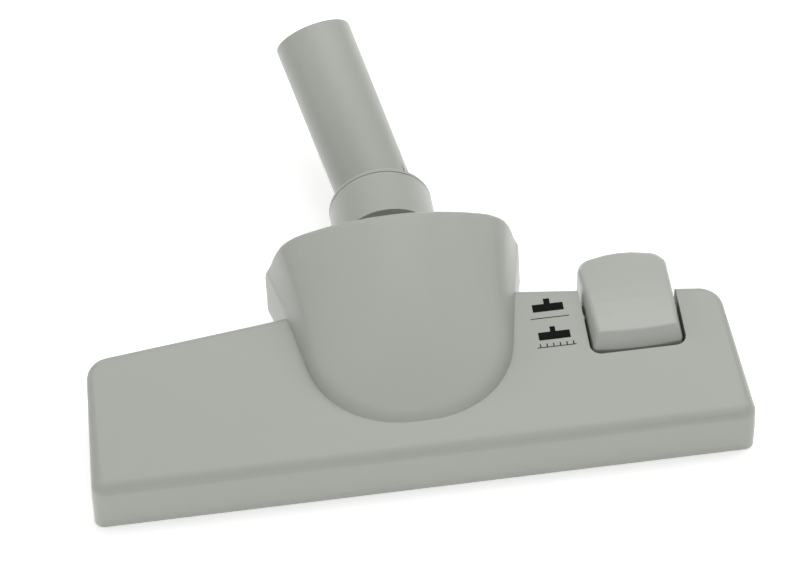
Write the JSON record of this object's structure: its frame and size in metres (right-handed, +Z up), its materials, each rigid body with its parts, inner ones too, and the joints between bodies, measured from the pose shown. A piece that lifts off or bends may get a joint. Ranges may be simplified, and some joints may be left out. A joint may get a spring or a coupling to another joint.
{
  "type": "vacuum floor brush head",
  "caption": "Wide floor head with a domed neck joint, swivelling socket tube, suction channel and a foot pedal that lowers two rows of bristles.",
  "frame": {"origin": "on the sole's flat land between the rear bristle row and the rear edge, on the head's middle plane, 56 mm behind the front edge", "axes": "+X to the right along the head, +Y to the rear where the neck leaves, +Z up from the floor"},
  "size_m": [0.291, 0.2299, 0.0753],
  "materials": {
    "shell": "fine moulded texture",
    "pedal": "fine moulded texture",
    "sole": "satin",
    "inner": "satin",
    "steel": "plain",
    "tyre": "soft",
    "lint": "short pile",
    "felt": "felt",
    "bristle": "nylon bristles"
  },
  "bodies": {
    "head": {"upper_housing": "shell", "base_plate": "sole", "sole_screws": "steel", "front_thread_lifter": "lint", "rear_thread_lifter": "lint", "air_duct": "inner", "duct_seal": "felt", "rear_cradle": "inner", "cradle_screws": "steel", "left_wheel_pin": "steel", "right_wheel_pin": "steel", "pedal_axle": "steel", "detent_spring": "steel"},
    "elbow": {"elbow_collar": "shell"},
    "neck": {"neck_tube": "shell", "neck_lock_ring": "steel", "neck_seal_ring": "felt"},
    "pedal": {"pedal": "pedal"},
    "brushes": {"brush_carrier": "inner", "front_brush_back_bar": "inner", "rear_brush_back_bar": "inner", "front_bristles": "bristle", "rear_bristles": "bristle"},
    "left_wheel": {"left_wheel": "inner", "left_tyre": "tyre"},
    "right_wheel": {"right_wheel": "inner", "right_tyre": "tyre"}
  },
  "joints": [
    {"name": "neck_tilt", "type": "hinge", "parent": "head", "child": "elbow", "pos_m": [0, 0.043, 0.0313], "axis": [1, 0, 0], "range_deg": [0, 40]},
    {"name": "neck_swivel", "type": "hinge", "parent": "elbow", "child": "neck", "pos_m": [0, 0.08366, 0.02793], "axis": [0, 0.9966, -0.0826], "continuous": true},
    {"name": "pedal_rock", "type": "hinge", "parent": "head", "child": "pedal", "pos_m": [0.1002, 0.008, 0.025], "axis": [1, 0, 0], "range_deg": [0, 17]},
    {"name": "brush_lift", "type": "slide", "parent": "head", "child": "brushes", "axis": [0, 0, 1], "range_m": [-0.0052, 0]},
    {"name": "left_wheel_spin", "type": "hinge", "parent": "head", "child": "left_wheel", "pos_m": [-0.0421, 0.044, 0.013], "axis": [1, 0, 0], "continuous": true},
    {"name": "right_wheel_spin", "type": "hinge", "parent": "head", "child": "right_wheel", "pos_m": [0.0421, 0.044, 0.013], "axis": [1, 0, 0], "continuous": true}
  ],
  "couplings": [
    {"joint": "brush_lift", "follows": "pedal_rock", "m_per_rad": -0.01725}
  ]
}
